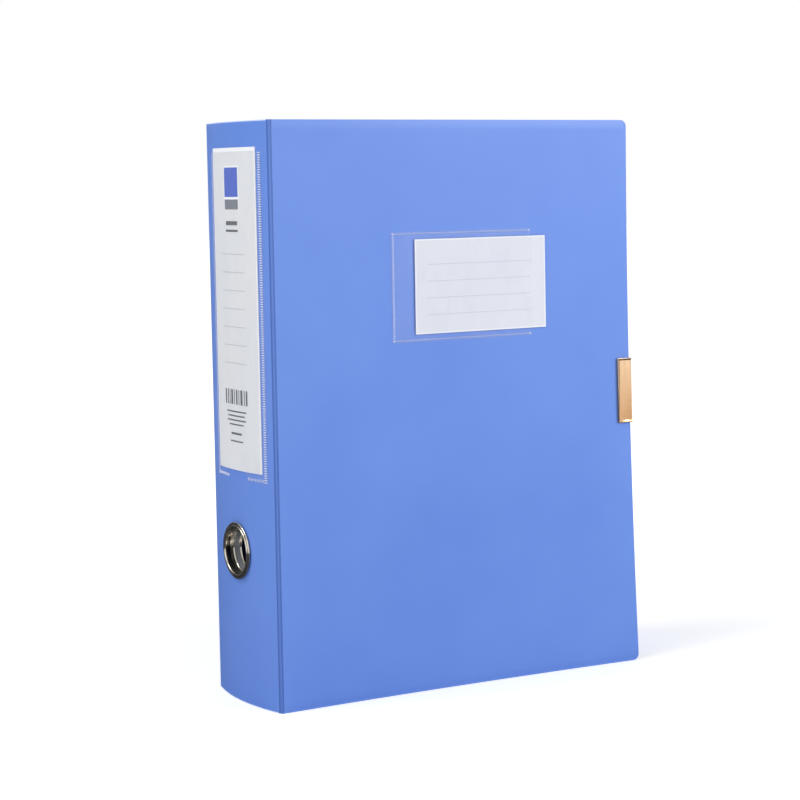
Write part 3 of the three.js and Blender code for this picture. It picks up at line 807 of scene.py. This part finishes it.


# %% [markdown]
# The pockets are clear film about 0.2 mm thick, welded to the sheet along a toothed bar. Between the
# welds the film has a little slack, so it lies in long shallow waves and its reflections are not straight.
# Film this thin hardly bends the light: it is drawn as a mostly clear surface that keeps its gloss. Its
# faint whitish streaks are painted sheen, and its slow drift between cream and pale blue is a painted
# reflection tint.

# %% Clear film finish
SHEEN_STREAK_MM = 13
REFLECTION_TINT_MM = 38
MOTTLE_MM = 1.2
THIN_SHEEN, THICK_SHEEN = 0.025, 0.045
# Painted sheen and reflection: long streaks of slightly higher alpha stand in for sheen, and the colour
# drift for tinted reflections.
clear_film, tree, shader, where = new_material("clear_film", Roughness=0.10, IOR=1.5)
long_way = add(tree, "ShaderNodeMapping", {"Vector": where, "Scale": (1.0, 1.0, 0.4)})
sheen_streaks = noise(tree, long_way.outputs["Vector"], SHEEN_STREAK_MM, 2.0, distortion=1.0)
colour_by(tree, shader, noise(tree, where, REFLECTION_TINT_MM, 1.0), "#E4E8F6", "#F6F3F0", 0.38, 0.62)
sheen_alpha = add(tree, "ShaderNodeMapRange",
           {"Value": sheen_streaks, "From Min": 0.42, "From Max": 0.68, "To Min": THIN_SHEEN, "To Max": THICK_SHEEN})
tree.links.new(sheen_alpha.outputs["Result"], shader.inputs["Alpha"])


def worked_film(name, dark, light, **constants):
    """Film that was cut, pressed or melted: cloudier, with a fine mottle."""
    made, tree, shader, where = new_material(name, IOR=1.5, **constants)
    colour_by(tree, shader, noise(tree, where, MOTTLE_MM, 2.0), dark, light)
    return made


film_edge = worked_film("film_cut_edge", "#B9CCFB", "#DCE6FF", Roughness=0.2, Alpha=0.15)
weld_film = worked_film("welded_film", "#DCE5FF", "#FBFCFF", Roughness=0.22)
pressed_film = worked_film("pressed_film", "#BCCBF6", "#DDE5FD", Roughness=0.3)

# %% Pocket film shapes
FILM = 0.2 * MM
WELD_OUT = 0.12 * MM
COVER_FIELD_OUT = 1.12 * MM
SPINE_FIELD_OUT = 0.74 * MM
RISE = 2.0 * MM
SLACK = 0.05 * MM


def smooth(value):
    value = min(max(value, 0.0), 1.0)
    return value * value * (3 - 2 * value)


def slack(u, v):
    """Long shallow waves of the film, in metres, from two lengths in metres."""
    wave = math.sin(u / (9 * MM) + 0.7 * math.sin(v / (17 * MM)))
    wave += 0.6 * math.sin(v / (13 * MM) - u / (29 * MM) + 1.3)
    return SLACK * wave


def film_out(into_field, u, v, field_out):
    """Height of the film at a distance inside its nearest weld."""
    lift = smooth(into_field / RISE)
    return WELD_OUT + lift * (field_out - WELD_OUT + slack(u, v))


cover_film_low, cover_film_high = (Vector(corner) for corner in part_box("cover_pocket_film"))
FILM_X0 = cover_film_low.x - LEFT
FILM_X1 = cover_film_high.x - LEFT
FILM_Z0 = cover_film_low.z
FILM_Z1 = cover_film_high.z
SIDE_WELD = 4.5 * MM
END_WELD = 2.8 * MM
NOTCH_DEPTH = 7.5 * MM
NOTCH_RADIUS = 9.58 * MM
NOTCH_Z = (FILM_Z0 + FILM_Z1) / 2


def notch_cut(z):
    """How far the thumb notch cuts into the film's open edge at height z."""
    reach = NOTCH_RADIUS ** 2 - (z - NOTCH_Z) ** 2
    return max(0.0, math.sqrt(reach) - (NOTCH_RADIUS - NOTCH_DEPTH)) if reach > 0 else 0.0


def cover_film_grid(extra, steps=60, rows=90):
    grid = []
    for i in range(steps + 1):
        column = []
        for j in range(rows + 1):
            z = FILM_Z0 + (FILM_Z1 - FILM_Z0) * j / rows
            x = FILM_X0 + (FILM_X1 - notch_cut(z) - FILM_X0) * i / steps
            inside = min(x - FILM_X0 - SIDE_WELD, z - FILM_Z0 - END_WELD, FILM_Z1 - END_WELD - z)
            column.append(on_cover(x, z, film_out(inside, x, z, COVER_FIELD_OUT) + extra))
        grid.append(column)
    return grid


cover_film = shell_from_grids("cover_film", cover_film_grid(FILM), cover_film_grid(0.0),
                              [clear_film, film_edge], angle=60)
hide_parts("cover_pocket_film")
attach(cover_film, "cover")

spine_film_low, spine_film_high = (Vector(corner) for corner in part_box("spine_pocket_film"))
SPINE_FILM_HALF = (spine_film_high.y - spine_film_low.y) / 2
SPINE_WELD = 4 * MM
BOTTOM_WELD = 5 * MM
THUMB_HALF = 9.5 * MM
THUMB_EDGE = 1.2 * MM
THUMB_RISE = 1.5 * MM
BOTTOM_EARLY = 2 * MM


def spine_film_grid(extra, steps=72, rows=120):
    z_low, z_high = spine_film_low.z, spine_film_high.z
    grid = []
    for i in range(steps + 1):
        across = -SPINE_FILM_HALF + 2 * SPINE_FILM_HALF * i / steps
        gap = smooth((THUMB_HALF + THUMB_EDGE - abs(across)) / THUMB_EDGE)
        start = z_low + gap * (BOTTOM_WELD + THUMB_RISE)
        column = []
        for j in range(rows + 1):
            z = start + (z_high - start) * j / rows
            from_side = SPINE_FILM_HALF - SPINE_WELD - abs(across)
            from_foot = z - z_low - BOTTOM_WELD + BOTTOM_EARLY
            out = film_out(min(from_side, from_foot), across, z, SPINE_FIELD_OUT) + extra
            column.append(on_spine(POCKET_MIDDLE + across, z, out))
        grid.append(column)
    return grid


spine_film = shell_from_grids("spine_film", spine_film_grid(FILM), spine_film_grid(0.0),
                              [clear_film, film_edge], angle=60)
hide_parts("spine_pocket_film")
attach(spine_film, "spine")
print("pocket films %.0f and %.0f mm wide" % ((FILM_X1 - FILM_X0) / MM, 2 * SPINE_FILM_HALF / MM))

# %% [markdown]
# The welding bar leaves a row of small teeth, a little over a millimetre apart. Geometry Nodes place one
# rounded tooth at each step along a seam line, so the pitch and the size of a tooth are inputs, and every
# seam uses the same tree. On the cover pocket a round dot ends each seam.

# %% Weld teeth tree
TOOTH_PITCH = 1.3 * MM
DOT_RADIUS = 0.7 * MM


def weld_tree():
    tree = bpy.data.node_groups.new("weld_teeth", "GeometryNodeTree")
    face = tree.interface
    face.new_socket("Geometry", in_out="INPUT", socket_type="NodeSocketGeometry")
    for name, kind in (("Pitch", "NodeSocketFloat"), ("Size", "NodeSocketVector"),
                       ("Turn", "NodeSocketVector"), ("Finish", "NodeSocketMaterial")):
        face.new_socket(name, in_out="INPUT", socket_type=kind)
    face.new_socket("Geometry", in_out="OUTPUT", socket_type="NodeSocketGeometry")
    given = add(tree, "NodeGroupInput").outputs
    line = add(tree, "GeometryNodeMeshToCurve", {"Mesh": given["Geometry"]})
    steps = add(tree, "GeometryNodeResampleCurve", {"Curve": line.outputs["Curve"]}, mode="LENGTH")
    tree.links.new(given["Pitch"], steps.inputs["Length"])
    ball = add(tree, "GeometryNodeMeshIcoSphere", {"Radius": 0.5, "Subdivisions": 2})
    teeth = add(tree, "GeometryNodeInstanceOnPoints",
                {"Points": steps.outputs["Curve"], "Instance": ball.outputs["Mesh"],
                 "Rotation": given["Turn"], "Scale": given["Size"]})
    real = add(tree, "GeometryNodeRealizeInstances", {"Geometry": teeth.outputs["Instances"]})
    finished = add(tree, "GeometryNodeSetMaterial",
                   {"Geometry": real.outputs["Geometry"], "Material": given["Finish"]})
    add(tree, "NodeGroupOutput", {"Geometry": finished.outputs["Geometry"]})
    return tree


WELD_TREE = weld_tree()


def weld_row(points, size, turn=(0.0, 0.0, 0.0)):
    """One row of teeth along a line of points. Size is along X, Y and Z before the turn."""
    mesh = bpy.data.meshes.new("seam_line")
    mesh.from_pydata([tuple(p) for p in points], [(i, i + 1) for i in range(len(points) - 1)], [])
    holder = bpy.data.objects.new("seam_line", mesh)
    bpy.context.scene.collection.objects.link(holder)
    modifier = holder.modifiers.new("teeth", "NODES")
    modifier.node_group = WELD_TREE
    values = {"Pitch": TOOTH_PITCH, "Size": size, "Turn": turn, "Finish": weld_film}
    for item in WELD_TREE.interface.items_tree:
        if item.in_out == "INPUT" and item.name in values:
            modifier[item.identifier] = values[item.name]
    return plain_mesh(holder, "weld_row")


def join_rows(name, rows, finish, body, dots=()):
    shell = bmesh.new()
    for point in dots:
        bmesh.ops.create_icosphere(shell, subdivisions=2, radius=DOT_RADIUS,
                                   matrix=Matrix.Translation(point))
    for row in rows:
        shell.from_mesh(row.data)
        bpy.data.objects.remove(row)
    mesh = bpy.data.meshes.new(name)
    shell.to_mesh(mesh)
    shell.free()
    mesh.materials.append(finish)
    mesh.shade_smooth()
    made = bpy.data.objects.new(name, mesh)
    bpy.context.scene.collection.objects.link(made)
    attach(made, body)
    return made


# %% Weld seams of the cover pocket
TOOTH_FACE = WELD_OUT + FILM
SIDE_ROW_IN = 1.5 * MM
LEVEL_ROW_IN = 1.4 * MM
ROW_START = 3 * MM
ROW_END = 1.5 * MM
DOT_END = 1.2 * MM
ACROSS_COVER = (1.8 * MM, 0.42 * MM, 0.7 * MM)
ALONG_COVER = (0.65 * MM, 0.36 * MM, 1.2 * MM)
side_x = FILM_X0 + SIDE_ROW_IN
level_z = (FILM_Z0 + LEVEL_ROW_IN, FILM_Z1 - LEVEL_ROW_IN)
line = [on_cover(side_x, z, TOOTH_FACE) for z in (FILM_Z0 + ROW_START, FILM_Z1 - ROW_START)]
cover_rows = [weld_row(line, ACROSS_COVER)]
for z in level_z:
    line = [on_cover(x, z, TOOTH_FACE) for x in (FILM_X0 + ROW_START, FILM_X1 - ROW_END)]
    cover_rows.append(weld_row(line, ALONG_COVER))
corners = [on_cover(x, z, WELD_OUT) for x in (side_x, FILM_X1 - DOT_END) for z in level_z]
cover_welds = join_rows("cover_weld_teeth", cover_rows, pressed_film, "cover", corners)

# %% Weld seams of the spine pocket
UPRIGHT_ROW_IN = 1.8 * MM
UPRIGHT_ROW_END = 1 * MM
FOOT_ROW_UP = 1.6 * MM
FOOT_ROW_IN = 3.5 * MM
FOOT_ROW_STEPS = 8
BESIDE_THUMB = THUMB_HALF + THUMB_EDGE + 0.5 * MM
UP_SPINE = (0.42 * MM, 2.6 * MM, 0.6 * MM)
ALONG_SPINE = (0.3 * MM, 0.6 * MM, 1.8 * MM)
spine_rows = []
z_low, z_high = spine_film_low.z, spine_film_high.z
for side in (-1, 1):
    y = POCKET_MIDDLE + side * (SPINE_FILM_HALF - UPRIGHT_ROW_IN)
    lean = math.asin((y - MIDDLE) / BOW_RADIUS)
    line = [on_spine(y, z, TOOTH_FACE) for z in (z_low + UPRIGHT_ROW_END, z_high - UPRIGHT_ROW_END)]
    spine_rows.append(weld_row(line, UP_SPINE, (0.0, 0.0, -lean)))
    length = SPINE_FILM_HALF - FOOT_ROW_IN - BESIDE_THUMB
    across = [BESIDE_THUMB + length * i / FOOT_ROW_STEPS for i in range(FOOT_ROW_STEPS + 1)]
    line = [on_spine(POCKET_MIDDLE + side * y, z_low + FOOT_ROW_UP, TOOTH_FACE) for y in across]
    spine_rows.append(weld_row(line, ALONG_SPINE))
spine_welds = join_rows("spine_weld_teeth", spine_rows, weld_film, "spine")
print("weld teeth: %d faces" % (len(cover_welds.data.polygons) + len(spine_welds.data.polygons)))

# %% [markdown]
# The camera looks from the spine's side with a long lens, a little above the middle of the box. Its
# place was worked out from the corners of the box in the picture, so it is written as an angle round
# the box, a height angle, a roll and a distance.

# %% Camera
FRAME_PX = 800
FOCAL_PX = 2030
AZIMUTH = math.radians(-30.96)
ELEVATION = math.radians(6.19)
ROLL = math.radians(0.91)
DISTANCE = 1.1678
TARGET = Vector((LEFT + 101.05 * MM, MIDDLE, 161.3 * MM))

back_axis = Vector((math.sin(AZIMUTH) * math.cos(ELEVATION), -math.cos(AZIMUTH) * math.cos(ELEVATION),
                    math.sin(ELEVATION)))
level_right = Vector((math.cos(AZIMUTH), math.sin(AZIMUTH), 0.0))
level_up = back_axis.cross(level_right)
right_axis = math.cos(ROLL) * level_right - math.sin(ROLL) * level_up
up_axis = math.sin(ROLL) * level_right + math.cos(ROLL) * level_up
lens = bpy.data.cameras.new("long_lens")
lens.sensor_width = 36
lens.lens = FOCAL_PX / FRAME_PX * lens.sensor_width
lens.clip_end = 50
camera = bpy.data.objects.new("long_lens", lens)
turn = Matrix((right_axis, up_axis, back_axis)).transposed().to_4x4()
camera.matrix_world = Matrix.Translation(TARGET + back_axis * DISTANCE) @ turn
bpy.context.scene.collection.objects.link(camera)
bpy.context.scene.camera = camera
print("lens %.0f mm" % lens.lens)

# %% [markdown]
# A pale floor and a plain soft studio: an even world light, a key from the upper right front, a soft box
# overhead and a weaker one from the left for the spine. Where a ray comes from the camera or off a mirror,
# it sees a white room. Polished metal in an all-white room would look flat, so four grey cards stand
# round the box, as they would in a photographer's studio, and only reflections see them.

# %% Floor, world and lamps
TONE_MM = 1250
FELT_PER_METRE = 30
FLOOR_HALF = 9
FAR_FROM, FAR_TO = 0.25, 1.1
NEAR_WHITE, FAR_WHITE = 0.34, 0.75
WORLD_SOFT = 0.46
PURE_WHITE = (1, 1, 1, 1)
FLAG_Z = 0.001

paper_floor, tree, shader, where = new_material("pale_floor", Roughness=0.9, Specular_IOR_Level=0.1)
colour_by(tree, shader, noise(tree, where, TONE_MM, 1.0), "#F1F1F2", "#F4F4F5")


def background_rays(tree):
    """1 for the rays that see a background: from the camera, off a mirror or through glass."""
    seen = add(tree, "ShaderNodeLightPath").outputs
    direct = add(tree, "ShaderNodeMath",
                 {0: seen["Is Camera Ray"], 1: seen["Is Glossy Ray"]}, operation="MAXIMUM")
    return add(tree, "ShaderNodeMath",
               {0: direct.outputs[0], 1: seen["Is Transmission Ray"]}, operation="MAXIMUM").outputs[0]


# Far from the box the lamps no longer reach the floor, so its own white grows with the distance.
away = add(tree, "ShaderNodeVectorMath", {0: where}, operation="LENGTH")
own_white = add(tree, "ShaderNodeMapRange",
                {"Value": away.outputs["Value"], "From Min": FAR_FROM, "From Max": FAR_TO,
                 "To Min": NEAR_WHITE, "To Max": FAR_WHITE})
lit = add(tree, "ShaderNodeMath",
          {0: background_rays(tree), 1: own_white.outputs["Result"]}, operation="MULTIPLY")
glow = add(tree, "ShaderNodeEmission", {"Color": PURE_WHITE, "Strength": lit.outputs[0]})
both = add(tree, "ShaderNodeAddShader", {0: shader.outputs["BSDF"], 1: glow.outputs["Emission"]})
tree.links.new(both.outputs[0], tree.nodes["Material Output"].inputs["Surface"])
floor_mesh = bpy.data.meshes.new("floor")
floor_corners = [(x * FLOOR_HALF, y * FLOOR_HALF, 0) for x, y in ((-1, -1), (1, -1), (1, 1), (-1, 1))]
floor_mesh.from_pydata(floor_corners, [], [(0, 1, 2, 3)])
floor_mesh.materials.append(paper_floor)
floor = bpy.data.objects.new("floor", floor_mesh)
bpy.context.scene.collection.objects.link(floor)

world = bpy.data.worlds.new("studio")
bpy.context.scene.world = world
world.use_nodes = True
tree = world.node_tree
tree.nodes.clear()
soft = add(tree, "ShaderNodeBackground", {"Color": PURE_WHITE, "Strength": WORLD_SOFT})
white = add(tree, "ShaderNodeBackground", {"Color": PURE_WHITE, "Strength": 1.0})
choose = add(tree, "ShaderNodeMixShader",
             {0: background_rays(tree), 1: soft.outputs["Background"], 2: white.outputs["Background"]})
add(tree, "ShaderNodeOutputWorld", {"Surface": choose.outputs["Shader"]})


def dark_flag(name, corners):
    """A grey card near the box: only reflections see it, so polished metal has something dark to mirror."""
    mesh = bpy.data.meshes.new(name)
    mesh.from_pydata(corners, [], [tuple(range(len(corners)))])
    mesh.materials.append(flag_cloth)
    card = bpy.data.objects.new(name, mesh)
    card.visible_camera = card.visible_diffuse = card.visible_shadow = False
    bpy.context.scene.collection.objects.link(card)


def level(x0, y0, x1, y1):
    return [(x0, y0, FLAG_Z), (x1, y0, FLAG_Z), (x1, y1, FLAG_Z), (x0, y1, FLAG_Z)]


def upright(x0, x1, y, top):
    return [(x0, y, 0.0), (x1, y, 0.0), (x1, y, top), (x0, y, top)]


flag_cloth, tree, shader, where = new_material("grey_flag_cloth", Roughness=0.9, Specular_IOR_Level=0.1)
felt = add(tree, "ShaderNodeTexNoise", {"Vector": where, "Scale": FELT_PER_METRE, "Detail": 2.0})
colour_by(tree, shader, felt.outputs["Fac"], "#4A4C50", "#56585D")
dark_flag("low_flag", level(-1.0, -1.0, 1.0, 1.0))
dark_flag("right_flag", level(1.0, -0.4, 2.8, 1.9))
dark_flag("rear_flag", upright(-0.2, 1.6, 1.1, 0.45))
dark_flag("left_flag", upright(-2.2, -0.25, 1.0, 1.0))


def soft_lamp(name, place, aim, size, watts):
    lamp = bpy.data.lights.new(name, "AREA")
    lamp.shape = "RECTANGLE"
    lamp.size, lamp.size_y = size
    lamp.energy = watts
    holder = bpy.data.objects.new(name, lamp)
    holder.location = place
    holder.rotation_euler = (Vector(aim) - Vector(place)).to_track_quat("-Z", "Y").to_euler()
    bpy.context.scene.collection.objects.link(holder)


# Name, place, what it aims at, width and height, watts
soft_lamp("key", (0.9, -1.05, 0.75), (0, 0, 0.2), (0.5, 0.7), 10)
soft_lamp("overhead", (-0.75, 0.1, 1.35), (0, 0, 0.15), (0.7, 0.7), 8.5)
soft_lamp("spine_fill", (-1.5, -0.6, 0.6), (0, 0, 0.15), (0.6, 0.9), 3.5)
bpy.context.scene.view_settings.view_transform = "Standard"
